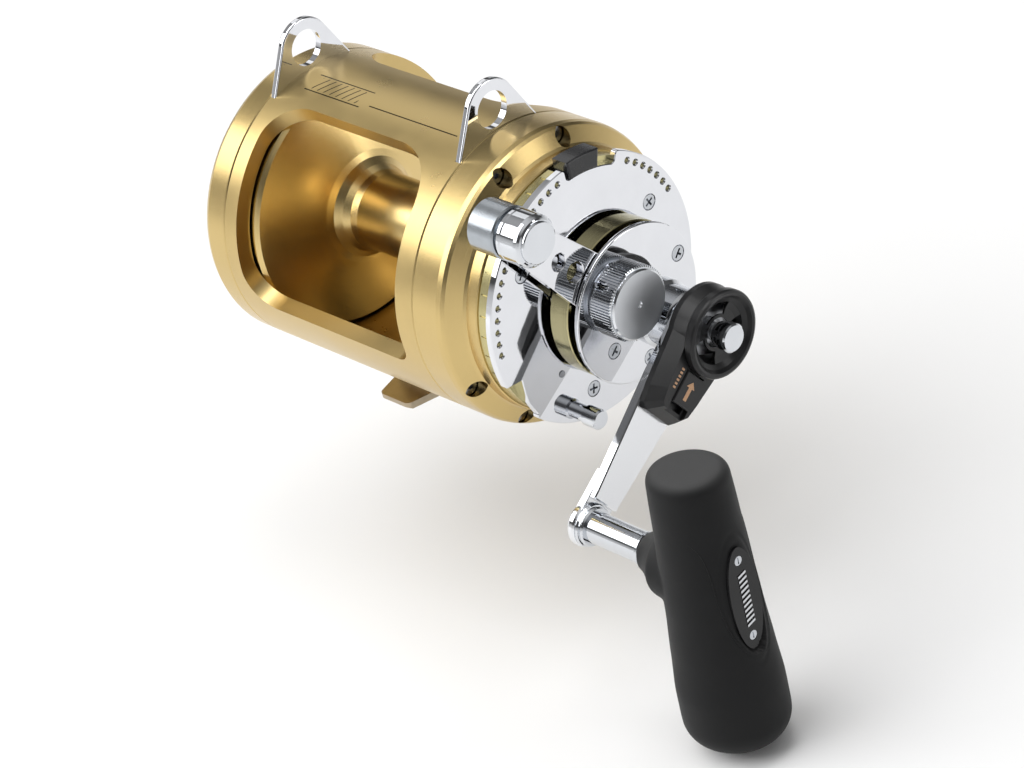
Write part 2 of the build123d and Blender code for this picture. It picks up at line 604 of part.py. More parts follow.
def build_lever():
    lever = slab(LEVER_LOW, LEVER_TOP, lever_outline())
    edges = [e for e in lever.edges() if at_x(LEVER_TOP)(e)]
    parts["drag_lever"] = chamfer(edges, 0.3)
    y, z = polar(LEVER_R, LEVER_ANGLE)
    barrel = turned([(32.0, 0), (32.0, 9.4), (33.0, 10.4), (45.4, 10.4), (46.0, 9.8),
                     (46.0, 8.2), (47.3, 8.2), (47.3, 0)], y, z)
    slot = slab(LEVER_LOW, LEVER_TOP, lever_outline())
    parts["lever_barrel"] = barrel - slot
    top = LEVER_CAP_TOP
    cap = turned([(47.3, 0), (47.3, 9.6), (47.9, 10.2), (49.2, 10.2), (49.6, 9.8), (50.0, 10.2),
                  (top - 3.6, 10.2), (top - 2.4, 9.9), (top - 1.5, 9.2), (top - 1.1, 8.6),
                  (top - 1.1, 8.3), (top - 0.4, 8.2), (top, 7.8), (top, 0)], y, z)
    parts["lever_cap"] = cap
    # the cam sleeve that the lever turns, reaching down to the pressure parts
    sleeve = turned([(27.4, 4.5 + RUN), (27.4, 8.5), (40.4, 8.5), (40.4, 8.6), (LEVER_TOP, 8.6),
                     (LEVER_TOP, 4.5 + RUN)])
    parts["cam_sleeve"] = sleeve
    y, z = polar(HOLE_R, LEVER_ANGLE)
    pin = turned([(36.3, 0), (36.3, 0.4), (36.7, 0.9), (LEVER_LOW, 0.9), (LEVER_LOW, 0)], y, z)
    parts["detent_pin"] = pin


def build_preset_knob():
    flutes = 80
    points = []
    for k in range(flutes):
        middle = 360.0 * k / flutes
        points.append(polar(15.0, middle - 0.7))
        points.append(polar(15.0, middle + 0.7))
        points.append(polar(14.3, middle + 1.5))
        points.append(polar(14.3, middle + 3.0))
    knurl = slab(49.0, 59.4, make_face(Polyline(*points, close=True)))
    tip = turned([(55.0, 16.5), (62.0, 16.5), (62.0, 13.0), (59.4, 14.2), (58.2, 16.5)])
    knurl = knurl - tip
    base = turned([(DISC_TOP + 0.3, 0), (DISC_TOP + 0.3, 12.6), (DISC_TOP + 0.8, 13.3),
                   (49.0, 13.3), (49.0, 0)])
    face = turned([(59.4, 0), (59.4, 14.0), (60.0, 14.0), (KNOB_TOP, 13.4), (KNOB_TOP, 1.3),
                   (60.0, 0.9), (60.0, 0)])
    neck = rod(LEVER_TOP + 0.2, DISC_TOP + 0.3, 9.2 - RUN)
    knob = knurl + base + face + neck
    knob = knob - rod(40, 52.0, 4.5 + RUN)
    parts["preset_knob"] = knob


# ---------------------------------------------------------------- handle
def crank_frame(x):
    """Plane at x on the handle shaft with its first axis along the handle arm."""
    angle = math.radians(CRANK_ANGLE)
    return Plane(origin=(SEAM_X + x, SHAFT_Y, AXIS_Z + SHAFT_Z),
                 x_dir=(0, math.cos(angle), math.sin(angle)), z_dir=(1, 0, 0))


def crank_slab(x0, x1, sketch):
    return extrude(crank_frame(x0) * sketch, x1 - x0)


BOSS_LOW = 60.8                # inner face of the boss that carries the grip


def build_arm():
    bar = make_face(Polyline((0, -13.2), (26, -12.0), (74, -7.6), (80, -7.4), (80, 7.4), (74, 7.6),
                             (26, 12.0), (0, 13.2), close=True))
    bar = bar + Circle(13.2)
    arm = crank_slab(ARM_LOW, ARM_TOP, bar)
    # the end steps down to a round boss that carries the grip
    arm = arm - crank_slab(ARM_TOP - 2.6, ARM_TOP + 1, Pos(CRANK_LEN + 3, 0) * Rectangle(24, 30))
    boss = turned([(BOSS_LOW, 0), (BOSS_LOW, 8.0), (BOSS_LOW + 0.4, 8.6), (BOSS_LOW + 1.2, 9.0),
                   (63.6, 9.0), (64.4, 8.4), (64.4, 0)], CRANK_Y, CRANK_Z)
    web = crank_slab(BOSS_LOW + 0.6, ARM_LOW + 1.0, make_face(
        Polyline((66, -7.6), (CRANK_LEN, -8.2), (CRANK_LEN, 8.2), (66, 7.6), close=True)))
    arm = arm + boss + web
    edges = [e for e in arm.edges() if at_x(ARM_TOP)(e)]
    arm = chamfer(edges, 0.5)
    arm = arm - rod(60, 70, 5.0, SHAFT_Y, SHAFT_Z)
    arm = arm - rod(58, 70, 4.0, CRANK_Y, CRANK_Z)
    parts["handle_arm"] = arm


HOUSING_TOP = 75.8


def build_housing():
    base = Circle(17.4) + make_face(Polyline((0, -16.6), (30, -12.6), (36.5, -11.0),
                                            (38.6, -8.0), (38.6, 8.0), (36.5, 11.0),
                                            (30, 12.6), (0, 16.6), close=True))
    upper = Circle(15.6) + make_face(Polyline((0, -14.4), (28, -9.8), (33.0, -8.6), (34.6, -6.8),
                                             (34.6, 6.8), (33.0, 8.6), (28, 9.8), (0, 14.4),
                                             close=True))
    body = crank_slab(ARM_TOP, ARM_TOP + 2.4, base)
    body = body + loft([crank_frame(ARM_TOP + 2.4) * make_face(base.face().outer_wire()),
                        crank_frame(HOUSING_TOP) * make_face(upper.face().outer_wire())])
    # track for the sliding release pad, and the finger recess beyond it
    body = body - crank_slab(HOUSING_TOP - 1.4, HOUSING_TOP + 2, Pos(27.2, 1.0) * Rectangle(19.2, 11.4))
    body = body - crank_slab(HOUSING_TOP - 3.6, HOUSING_TOP + 2, Pos(31.6, 1.0) * Rectangle(4.6, 8.0))
    # inside: room for the arm nut, the rod and its spring
    body = body - rod(ARM_TOP - 1, 90, 12.4, SHAFT_Y, SHAFT_Z)
    parts["shift_housing"] = body
    pad = crank_slab(HOUSING_TOP - 1.35, HOUSING_TOP + 0.7, Pos(24.7, 1.0) * Rectangle(13.0, 11.2))
    edges = [e for e in pad.edges() if at_x(HOUSING_TOP + 0.7)(e)]
    parts["release_slider"] = chamfer(edges, 0.4)


def build_hub():
    ring = turned([(HOUSING_TOP, 13.6), (HOUSING_TOP, 17.2), (HOUSING_TOP + 0.6, 17.7),
                   (79.0, 17.7), (79.8, 17.3), (HUB_RIM, 16.4), (79.9, 15.4), (78.6, 14.2),
                   (77.2, 12.2), (76.6, 9.8), (76.6, 6.0), (HOUSING_TOP, 6.0)],
                  SHAFT_Y, SHAFT_Z)
    for k in range(3):
        hole = sector(7.3, 12.4, 120 * k + 51, 120 * k + 126)
        ring = ring - slab(74, 90, Pos(SHAFT_Y, SHAFT_Z) * hole)
    parts["hub_dish"] = ring
    nut = crank_slab(ARM_TOP, ARM_TOP + 5.0, RegularPolygon(11.2, 6) - Circle(5.0))
    parts["arm_nut"] = nut
    button = turned([(77.6, 2.0), (77.6, 4.8), (80.0, 4.8), (81.4, 5.8), (84.4, 5.8),
                     (BUTTON_TOP, 5.2), (BUTTON_TOP, 0), (79.0, 0), (79.0, 2.0)],
                    SHAFT_Y, SHAFT_Z)
    parts["shift_button"] = button
    parts["shift_rod"] = rod(16.0, 79.0, 2.0, SHAFT_Y, SHAFT_Z)
    parts["shift_spring"] = coil(73.6, 77.5, 3.2, 0.4, 3, SHAFT_Y, SHAFT_Z)


# ---------------------------------------------------------------- grip
GRIP_TILT = 2.3                # the grip hangs this far from straight down, in degrees
GRIP_LEAN = 3.0                # and its top leans this far towards the reel
GRIP_UP = 47.0                 # from the axle to the top of the grip
GRIP_DOWN = 71.5
BADGE_Z = -4.0                 # badge centre below the axle, along the grip


def grip_place(x=0.0):
    """Frame on the grip axle with its Z axis along the grip."""
    return at(x, CRANK_Y, CRANK_Z) * Rot(-GRIP_TILT, 0, 0)


def grip_section(height, half_x, half_y):
    return Pos(0, 0, height) * Ellipse(half_x, half_y)


def build_grip():
    sections = [(-GRIP_DOWN, 18.2, 17.2), (-62.0, 20.8, 19.8), (-46.0, 21.2, 20.2),
                (-30.0, 20.0, 19.0), (-12.0, 18.8, 17.8), (8.0, 17.8, 16.8), (28.0, 16.8, 15.8),
                (GRIP_UP, 16.0, 15.0)]
    body = loft([grip_section(h, a, b) for h, a, b in sections])
    ends = [e for e in body.edges() if abs(e.bounding_box().max.Z - e.bounding_box().min.Z) < 0.01]
    body = fillet([e for e in ends if e.center().Z > 0], 4.0)
    low = [e for e in body.edges() if abs(e.bounding_box().max.Z - e.bounding_box().min.Z) < 0.01
           and e.center().Z < -GRIP_DOWN + 4]
    lean = Rot(0, -GRIP_LEAN, 0)
    body = lean * fillet(low, 9.0)
    neck = Pos(-22.5, 0, 0) * Rot(0, 90, 0) * Cone(7.6, 13.0, 15.6)
    body = body + neck
    badge_cut = lean * Pos(20.8, 0, BADGE_Z) * Rot(0, 90, 0) * extrude(Ellipse(22.0, 7.6), 5.0,
                                                                       both=True)
    body = body - badge_cut
    bore = Rot(0, 90, 0) * Cylinder(4.6, 80)
    plug = Pos(17.0, 0, 0) * Rot(0, 90, 0) * Cylinder(5.0, 40)
    body = body - (bore - plug)
    parts["grip"] = grip_place(GRIP_X) * body
    badge = lean * Pos(16.9, 0, BADGE_Z) * Rot(0, 90, 0) * extrude(Ellipse(21.8, 7.4), 1.1,
                                                                   both=True)
    screws = []
    for height in (16.2, -16.2):
        place = lean * Pos(17.6, 0, BADGE_Z + height) * Rot(0, 90, 0)
        badge = badge - place * Cylinder(1.9, 2.0)
        head = place * Pos(0, 0, -0.3) * Cylinder(1.85, 1.2)
        slot = place * Pos(0, 0, 0.3) * Box(2.6, 0.5, 0.9)
        screws.append(head - slot)
    parts["grip_badge"] = grip_place(GRIP_X) * badge
    parts["badge_screws"] = grip_place(GRIP_X) * Compound(children=screws)


def build_grip_axle():
    # axle pressed into the boss, with the moulded collar that the tube butts on
    low = BOSS_LOW + 0.2
    parts["grip_axle"] = turned([(low, 0), (low, 4.0), (64.4, 4.0), (64.4, 8.2), (65.2, 8.6),
                                 (66.2, 8.2), (66.4, 7.6), (66.8, 7.6), (67.2, 8.0), (68.0, 7.4),
                                 (68.0, 4.0), (94.0, 4.0), (94.0, 4.5), (120.0, 4.5),
                                 (121.0, 3.5), (121.0, 0)], CRANK_Y, CRANK_Z)
    parts["grip_tube"] = turned([(68.0, 4.0), (68.0, 6.3), (93.6, 6.3), (94.2, 6.8), (95.0, 6.8),
                                 (95.4, 6.4), (95.4, 4.5), (94.0, 4.5), (94.0, 4.0)],
                                CRANK_Y, CRANK_Z)


# ---------------------------------------------------------------- build and export
parts["frame"] = build_frame()
build_lugs()
build_foot()
build_foot_screws()
build_left_plate()
build_right_plate()
build_plate_screws()
build_clicker()
build_spool()
build_gears()
build_handle_shaft()
build_pawls()
build_gear_cover()
build_index_ring()
build_quadrant()
build_peg()
build_strike_button()
build_spacer()
build_cover_disc()
build_lever()
build_preset_knob()
build_arm()
build_housing()
build_hub()
build_grip()
build_grip_axle()

for name, shape in parts.items():
    export_step(shape, f"parts/{name}.step")
print(len(parts), "parts")
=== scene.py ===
"""Looks for the two-speed lever-drag trolling reel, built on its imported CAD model.

Metres, in the CAD model's frame: X along the spool axis towards the handle, Y forwards
along the rod, Z up, origin in the middle of the underside of the reel foot.
"""
import math

import bpy
from mathutils import Matrix, Vector


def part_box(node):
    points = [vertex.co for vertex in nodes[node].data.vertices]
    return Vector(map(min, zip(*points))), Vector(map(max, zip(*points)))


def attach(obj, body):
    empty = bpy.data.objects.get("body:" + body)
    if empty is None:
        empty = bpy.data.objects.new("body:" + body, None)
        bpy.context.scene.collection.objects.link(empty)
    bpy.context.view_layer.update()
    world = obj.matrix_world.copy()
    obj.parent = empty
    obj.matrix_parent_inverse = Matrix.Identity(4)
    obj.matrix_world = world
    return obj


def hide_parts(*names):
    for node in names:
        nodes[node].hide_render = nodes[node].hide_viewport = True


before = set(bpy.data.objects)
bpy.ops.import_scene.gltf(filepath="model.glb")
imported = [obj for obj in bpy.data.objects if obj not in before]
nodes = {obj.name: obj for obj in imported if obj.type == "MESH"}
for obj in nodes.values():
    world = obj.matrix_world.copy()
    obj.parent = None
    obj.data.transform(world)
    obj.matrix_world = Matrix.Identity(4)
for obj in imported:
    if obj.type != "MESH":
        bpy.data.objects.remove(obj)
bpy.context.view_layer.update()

# ---------------------------------------------------------------- driving places
SEAM_X = 0.055                     # seam between the frame and the handle-side plate
AXIS_Z = 0.062                     # spool axis above the foot's underside
# (y, z) of each axis along X that pieces are turned about
SPOOL_AXIS = (0.0, AXIS_Z)
SHAFT_AXIS = (0.0212, AXIS_Z - 0.020)
DISC_AXIS = (0.0106, AXIS_Z - 0.010)
CRANK_AXIS = (-0.0494, AXIS_Z - 0.069)   # the grip's axle
GRIP_X = SEAM_X + 0.126            # middle of the grip
GRIP_TILT = math.radians(2.3)      # how far the grip hangs from straight down, about X
GRIP_LEAN = math.radians(3.0)      # how far its top leans towards the reel
GRIP_UP = 0.047                    # from the axle to the top of the grip
GRIP_DOWN = 0.0715                 # and to its low end
BADGE_Z = -0.004                   # badge centre, along the grip from the axle
# direction of the handle arm, from +Y towards +Z
CRANK_ANGLE = math.atan2(CRANK_AXIS[1] - SHAFT_AXIS[1], CRANK_AXIS[0] - SHAFT_AXIS[0])
HOUSING_TOP = SEAM_X + 0.0758      # outer face of the handle's housing
SLIDER_TOP = HOUSING_TOP + 0.0007  # outer face of the release pad
BODY_R = 0.060                     # outside of the frame
NOISE_LOW = 0.3                    # a noise keeps mostly between these two values
NOISE_HIGH = 0.7


# ---------------------------------------------------------------- node tree helpers
def node(tree, kind, **settings):
    made = tree.nodes.new(kind)
    for key, value in settings.items():
        setattr(made, key, value)
    return made


def feed(tree, socket, value):
    """Put a number, a tuple or another node's output on an input socket."""
    if isinstance(value, bpy.types.NodeSocket):
        tree.links.new(value, socket)
    else:
        socket.default_value = value


def calc(tree, operation, a, b=0.0):
    made = node(tree, "ShaderNodeMath", operation=operation)
    feed(tree, made.inputs[0], a)
    feed(tree, made.inputs[1], b)
    return made.outputs[0]


def between(tree, value, low, high):
    """1 where the value lies between low and high, and 0 elsewhere."""
    return calc(tree, "MULTIPLY", calc(tree, "GREATER_THAN", value, low),
                calc(tree, "LESS_THAN", value, high))


def place(tree):
    """Position in the row frame at rest, in metres: it moves along with the piece."""
    return node(tree, "ShaderNodeTexCoord").outputs["Object"]


def split(tree, vector):
    made = node(tree, "ShaderNodeSeparateXYZ")
    feed(tree, made.inputs[0], vector)
    return made.outputs[0], made.outputs[1], made.outputs[2]


def join(tree, x, y, z):
    made = node(tree, "ShaderNodeCombineXYZ")
    for socket, value in zip(made.inputs, (x, y, z)):
        feed(tree, socket, value)
    return made.outputs[0]


def stretched(tree, vector, scale):
    """A position multiplied by its own number along each axis."""
    made = node(tree, "ShaderNodeVectorMath", operation="MULTIPLY")
    feed(tree, made.inputs[0], vector)
    made.inputs[1].default_value = scale
    return made.outputs[0]


def noise(tree, vector, scale, detail=3.0, rough=0.55):
    made = node(tree, "ShaderNodeTexNoise")
    feed(tree, made.inputs["Vector"], vector)
    made.inputs["Scale"].default_value = scale
    made.inputs["Detail"].default_value = detail
    made.inputs["Roughness"].default_value = rough
    return made.outputs["Fac"]


def spread(tree, value, low, high):
    """Map a noise's usual range to low..high."""
    made = node(tree, "ShaderNodeMapRange")
    feed(tree, made.inputs["Value"], value)
    made.inputs["From Min"].default_value = NOISE_LOW
    made.inputs["From Max"].default_value = NOISE_HIGH
    made.inputs["To Min"].default_value = low
    made.inputs["To Max"].default_value = high
    return made.outputs["Result"]


def mix_colour(tree, factor, a, b):
    made = node(tree, "ShaderNodeMix", data_type="RGBA")
    feed(tree, made.inputs["Factor"], factor)
    feed(tree, made.inputs["A"], a)
    feed(tree, made.inputs["B"], b)
    return made.outputs["Result"]


def bump(tree, height, distance, strength, normal=None):
    """A normal raised by a height, over another normal where one is given."""
    made = node(tree, "ShaderNodeBump")
    made.inputs["Strength"].default_value = strength
    made.inputs["Distance"].default_value = distance
    feed(tree, made.inputs["Height"], height)
    if normal is not None:
        tree.links.new(normal, made.inputs["Normal"])
    return made.outputs["Normal"]


def rgba(colour):
    return (colour[0], colour[1], colour[2], 1.0)


def dimmed(colour, share):
    return tuple(c * share for c in colour)


def shaded(tree, value, dark, light):
    """A colour that follows a noise from dark to light."""
    return mix_colour(tree, spread(tree, value, 0.0, 1.0), rgba(dark), rgba(light))


def start(name, colour, metallic, roughness):
    """A new material, with its node tree and its shader."""
    material = bpy.data.materials.new(name)
    material.use_nodes = True
    shader = material.node_tree.nodes["Principled BSDF"]
    shader.inputs["Base Color"].default_value = rgba(colour)
    shader.inputs["Metallic"].default_value = metallic
    shader.inputs["Roughness"].default_value = roughness
    return material, material.node_tree, shader


def turning(tree, axis):
    """For an axis along X: the vector (radius, x, 0), then radius, x and the angle round it."""
    x, y, z = split(tree, place(tree))
    dy = calc(tree, "SUBTRACT", y, axis[0])
    dz = calc(tree, "SUBTRACT", z, axis[1])
    square = calc(tree, "ADD", calc(tree, "MULTIPLY", dy, dy), calc(tree, "MULTIPLY", dz, dz))
    radius = calc(tree, "SQRT", square)
    angle = calc(tree, "ARCTAN2", dz, dy)
    return join(tree, radius, x, 0.0), radius, x, angle


def tangent_round(tree, shader):
    """Tool marks run round the X axis, so highlights spread across them."""
    tangent = node(tree, "ShaderNodeTangent", direction_type="RADIAL", axis="X")
    tree.links.new(tangent.outputs[0], shader.inputs["Tangent"])


# ---------------------------------------------------------------- metals
def turned_metal(name, colour, roughness, axis, marks, grain, stretch, tint):
    """Metal with lathe marks round an axis along X, handling smudges and a little tint."""
    material, tree, shader = start(name, colour, 1.0, roughness)
    lathe = turning(tree, axis)[0]
    fine = noise(tree, lathe, grain, 2.0, 0.7)
    broad = noise(tree, lathe, grain * 0.13, 2.0, 0.5)
    smudge = noise(tree, place(tree), 38.0, 4.0, 0.6)
    both = calc(tree, "ADD", calc(tree, "MULTIPLY", fine, 0.6),
                calc(tree, "MULTIPLY", smudge, 0.4))
    feed(tree, shader.inputs["Roughness"], spread(tree, both, roughness * 0.86, roughness * 1.2))
    feed(tree, shader.inputs["Base Color"],
         shaded(tree, broad, dimmed(colour, 1.0 - tint), colour))
    feed(tree, shader.inputs["Normal"], bump(tree, fine, 0.00001 * marks, 0.6))
    shader.inputs["Anisotropic"].default_value = stretch
    tangent_round(tree, shader)
    return material


def blasted_metal(name, colour, roughness, grain, depth):
    """Bead-blasted and anodised or plated metal with an even fine grain."""
    material, tree, shader = start(name, colour, 1.0, roughness)
    where = place(tree)
    fine = noise(tree, where, grain, 2.0, 0.6)
    smudge = noise(tree, where, 45.0, 4.0, 0.6)
    feed(tree, shader.inputs["Roughness"],
         spread(tree, smudge, roughness * 0.88, roughness * 1.14))
    cloud = noise(tree, where, 240.0, 3.0)
    feed(tree, shader.inputs["Base Color"], shaded(tree, cloud, dimmed(colour, 0.9), colour))
    feed(tree, shader.inputs["Normal"], bump(tree, fine, depth, 0.7))
    return material


def chrome(name, colour, roughness, ripple=0.00004):
    """Mirror plating: faint polishing waves, hair scratches and smudges."""
    material, tree, shader = start(name, colour, 1.0, roughness)
    where = place(tree)
    smudge = noise(tree, where, 60.0, 5.0, 0.65)
    hair = noise(tree, stretched(tree, where, (900.0, 900.0, 60.0)), 1.0, 2.0, 0.6)
    feed(tree, shader.inputs["Roughness"], spread(tree, smudge, roughness * 0.7, roughness * 1.7))
    feed(tree, shader.inputs["Base Color"], shaded(tree, smudge, dimmed(colour, 0.95), colour))
    waves = bump(tree, noise(tree, where, 120.0, 1.0, 0.4), ripple, 0.5)
    feed(tree, shader.inputs["Normal"], bump(tree, hair, 0.0000016, 0.6, waves))
    return material


# engraved rules on the top bar: degrees round the body from +Y, then X at both ends
RULES = [(99.5, SEAM_X - 0.062, SEAM_X - 0.012), (101.5, SEAM_X - 0.098, SEAM_X - 0.066),
         (92.5, SEAM_X - 0.098, SEAM_X - 0.066)]
RULE_HALF_WIDTH = 0.00028
# row of ticks: X at both ends, degrees at both sides, and the pitch
TICKS = (SEAM_X - 0.095, SEAM_X - 0.069, 93.5, 100.5, 0.0036)
TICK_SLANT = 0.03                  # how far a tick shifts along X for each radian round the body
TICK_HALF_SHARE = 0.09             # half of a tick's width, as a share of the pitch
ENGRAVING_SKIN = 0.0003            # only the outside of the tube carries the lines
ENGRAVED_COLOUR = (0.05, 0.035, 0.015)


def frame_gold(name, colour, roughness):
    """Satin anodised frame tube, with thin engraved ruling on its top bar."""
    material, tree, shader = start(name, colour, 1.0, roughness)
    lathe, radius, x, angle = turning(tree, SPOOL_AXIS)
    fine = noise(tree, lathe, 5200.0, 2.0, 0.7)
    blast = noise(tree, place(tree), 5200.0, 2.0, 0.6)
    smudge = noise(tree, place(tree), 34.0, 4.0, 0.6)
    grain = calc(tree, "ADD", calc(tree, "MULTIPLY", fine, 0.6),
                 calc(tree, "MULTIPLY", blast, 0.4))
    feed(tree, shader.inputs["Roughness"],
         spread(tree, smudge, roughness * 0.88, roughness * 1.15))
    normal = bump(tree, grain, 0.00001, 0.6)
    # plain engraving: one long rule, and a pair of short ones with a row of ticks between
    outside = calc(tree, "GREATER_THAN", radius, BODY_R - ENGRAVING_SKIN)
    lines = 0.0
    for turn, x0, x1 in RULES:
        near = calc(tree, "ABSOLUTE", calc(tree, "SUBTRACT", angle, math.radians(turn)))
        across = calc(tree, "LESS_THAN", near, RULE_HALF_WIDTH / BODY_R)
        within = between(tree, x, x0, x1)
        lines = calc(tree, "MAXIMUM", lines, calc(tree, "MULTIPLY", across, within))
    x0, x1, low, high, pitch = TICKS
    slant = calc(tree, "ADD", x, calc(tree, "MULTIPLY", angle, TICK_SLANT))
    share = calc(tree, "FRACT", calc(tree, "DIVIDE", slant, pitch))
    phase = calc(tree, "ABSOLUTE", calc(tree, "SUBTRACT", share, 0.5))
    band = between(tree, angle, math.radians(low), math.radians(high))
    span = between(tree, x, x0, x1)
    ticks = calc(tree, "MULTIPLY", calc(tree, "LESS_THAN", phase, TICK_HALF_SHARE),
                 calc(tree, "MULTIPLY", band, span))
    lines = calc(tree, "MULTIPLY", calc(tree, "MAXIMUM", lines, ticks), outside)
    shade = shaded(tree, smudge, dimmed(colour, 0.92), colour)
    feed(tree, shader.inputs["Base Color"],
         mix_colour(tree, lines, shade, rgba(ENGRAVED_COLOUR)))
    sunk = calc(tree, "SUBTRACT", 1.0, lines)
    feed(tree, shader.inputs["Normal"], bump(tree, sunk, 0.0001, 0.6, normal))
    shader.inputs["Anisotropic"].default_value = 0.35
    tangent_round(tree, shader)
    return material


def faced_chrome(name, colour, face_low, face_high):
    """Mirror sides with fine lines along X, and a duller shine on the broad faces across X."""
    material, tree, shader = start(name, colour, 1.0, 0.08)
    where = place(tree)
    normal = node(tree, "ShaderNodeNewGeometry").outputs["Normal"]
    facing = split(tree, normal)[0]
    broad = calc(tree, "GREATER_THAN", calc(tree, "ABSOLUTE", facing), 0.9)
    smudge = noise(tree, where, 70.0, 4.0, 0.6)
    along = noise(tree, stretched(tree, where, (800.0, 2600.0, 2600.0)), 1.0, 2.0, 0.6)
    face_rough = spread(tree, smudge, face_low, face_high)
    side_rough = spread(tree, smudge, 0.035, 0.08)
    mixed = calc(tree, "ADD", calc(tree, "MULTIPLY", broad, face_rough),
                 calc(tree, "MULTIPLY", calc(tree, "SUBTRACT", 1.0, broad), side_rough))
    feed(tree, shader.inputs["Roughness"], mixed)
    feed(tree, shader.inputs["Normal"], bump(tree, along, 0.000004, 0.5))
    return material


# ---------------------------------------------------------------- plastics and rubber
def moulded(name, colour, roughness, grain, depth, coat):
    """Moulded plastic with a fine spark-eroded grain and slight handling shine."""
    material, tree, shader = start(name, colour, 0.0, roughness)
    where = place(tree)
    fine = noise(tree, where, grain, 2.0, 0.6)
    shine = noise(tree, where, 90.0, 4.0, 0.6)
    feed(tree, shader.inputs["Roughness"], spread(tree, shine, roughness * 0.82, roughness * 1.18))
    light = tuple(c * 1.5 + 0.002 for c in colour)
    feed(tree, shader.inputs["Base Color"], shaded(tree, shine, colour, light))
    feed(tree, shader.inputs["Normal"], bump(tree, fine, depth, 0.5))
    shader.inputs["Specular IOR Level"].default_value = 0.3
    shader.inputs["Coat Weight"].default_value = coat
    shader.inputs["Coat Roughness"].default_value = 0.12
    return material


def rubber(name):
    """Matte grip rubber: fine stipple, and a painted highlight: the colour lightens to grey where
    it faces up, standing in for light from above.
    """
    material, tree, shader = start(name, (0.008, 0.0083, 0.0087), 0.0, 0.62)
    where = place(tree)
    stipple = noise(tree, where, 3000.0, 2.0, 0.65)
    cloud = noise(tree, where, 55.0, 4.0, 0.6)
    shade = shaded(tree, cloud, (0.006, 0.0062, 0.0066), (0.011, 0.0113, 0.0118))
    # painted top light: faces turned up are mixed towards grey, a painted highlight for light
    # falling from above
    up = split(tree, node(tree, "ShaderNodeNewGeometry").outputs["Normal"])[2]
    top_light_mask = calc(tree, "POWER", calc(tree, "MAXIMUM", up, 0.0), 3.0)
    top_lit_colour = mix_colour(tree, calc(tree, "MULTIPLY", top_light_mask, 0.55), shade, rgba((0.10, 0.10, 0.10)))
    feed(tree, shader.inputs["Base Color"], top_lit_colour)
    feed(tree, shader.inputs["Roughness"], spread(tree, cloud, 0.56, 0.72))
    feed(tree, shader.inputs["Normal"], bump(tree, stipple, 0.00003, 0.55))
    shader.inputs["Sheen Weight"].default_value = 0.05
    shader.inputs["Sheen Roughness"].default_value = 0.5
    shader.inputs["Specular IOR Level"].default_value = 0.16
    return material


def carbon(name):
    """Woven carbon drag face."""
    material, tree, shader = start(name, (0.02, 0.02, 0.022), 0.0, 0.45)
    weave = node(tree, "ShaderNodeTexChecker")
    feed(tree, weave.inputs["Vector"], place(tree))
    weave.inputs["Scale"].default_value = 620.0
    weave.inputs["Color1"].default_value = rgba((0.018, 0.018, 0.02))
    weave.inputs["Color2"].default_value = rgba((0.05, 0.05, 0.054))
    threads = noise(tree, place(tree), 3500.0, 2.0)
    feed(tree, shader.inputs["Base Color"], weave.outputs["Color"])
    feed(tree, shader.inputs["Normal"], bump(tree, threads, 0.00003, 0.5))
    return material


def ink(name, colour):
    """Printed copper-coloured ink."""
    material, tree, shader = start(name, colour, 0.35, 0.42)
    speck = noise(tree, place(tree), 2600.0, 3.0)
    feed(tree, shader.inputs["Base Color"], shaded(tree, speck, dimmed(colour, 0.7), colour))
    return material


GOLD = (0.63, 0.47, 0.205)
OLIVE_GOLD = (0.55, 0.49, 0.25)
DEEP_GOLD = (0.74, 0.55, 0.24)

gold_frame = frame_gold("frame_gold", GOLD, 0.30)
gold_plate = turned_metal("plate_gold", GOLD, 0.24, SPOOL_AXIS, marks=0.3, grain=9000.0,
                          stretch=0.45, tint=0.02)
gold_ring = turned_metal("ring_gold", OLIVE_GOLD, 0.22, SPOOL_AXIS, marks=0.3, grain=9000.0,
                         stretch=0.4, tint=0.02)
gold_spool = turned_metal("spool_gold", DEEP_GOLD, 0.22, SPOOL_AXIS, marks=0.5, grain=7000.0,
                          stretch=0.78, tint=0.04)
olive_brass = turned_metal("olive_brass", (0.52, 0.47, 0.26), 0.14, DISC_AXIS, marks=0.5,
                           grain=2600.0, stretch=0.4, tint=0.10)
bronze_foot = blasted_metal("foot_bronze", (0.46, 0.38, 0.27), 0.34, grain=5200.0,
                            depth=0.000012)
plate_chrome = chrome("plate_chrome", (0.79, 0.80, 0.83), 0.03, ripple=0.00001)
part_chrome = chrome("part_chrome", (0.70, 0.72, 0.75), 0.045)
sleeve_chrome = turned_metal("sleeve_chrome", (0.80, 0.82, 0.85), 0.07, SHAFT_AXIS, marks=0.3,
                             grain=2200.0, stretch=0.3, tint=0.04)
tube_chrome = turned_metal("tube_chrome", (0.66, 0.68, 0.71), 0.06, CRANK_AXIS, marks=0.3,
                           grain=2200.0, stretch=0.3, tint=0.04)
knob_chrome = faced_chrome("knob_chrome", (0.74, 0.76, 0.79), 0.30, 0.40)
arm_chrome = faced_chrome("arm_chrome", (0.80, 0.81, 0.83), 0.17, 0.25)
satin_steel = blasted_metal("satin_steel", (0.44, 0.47, 0.50), 0.25, grain=2600.0,
                            depth=0.00001)
screw_steel = blasted_metal("screw_steel", (0.30, 0.31, 0.33), 0.2, grain=5200.0,
                            depth=0.000012)
screw_chrome = chrome("screw_chrome", (0.55, 0.57, 0.60), 0.07)
gear_steel = turned_metal("gear_steel", (0.46, 0.47, 0.49), 0.3, SHAFT_AXIS, marks=1.0,
                          grain=2200.0, stretch=0.4, tint=0.12)
shaft_steel = turned_metal("shaft_steel", (0.55, 0.56, 0.58), 0.22, SPOOL_AXIS, marks=0.6,
                           grain=2400.0, stretch=0.5, tint=0.08)
bearing_steel = blasted_metal("bearing_steel", (0.6, 0.61, 0.63), 0.16, grain=3000.0,
                              depth=0.000004)
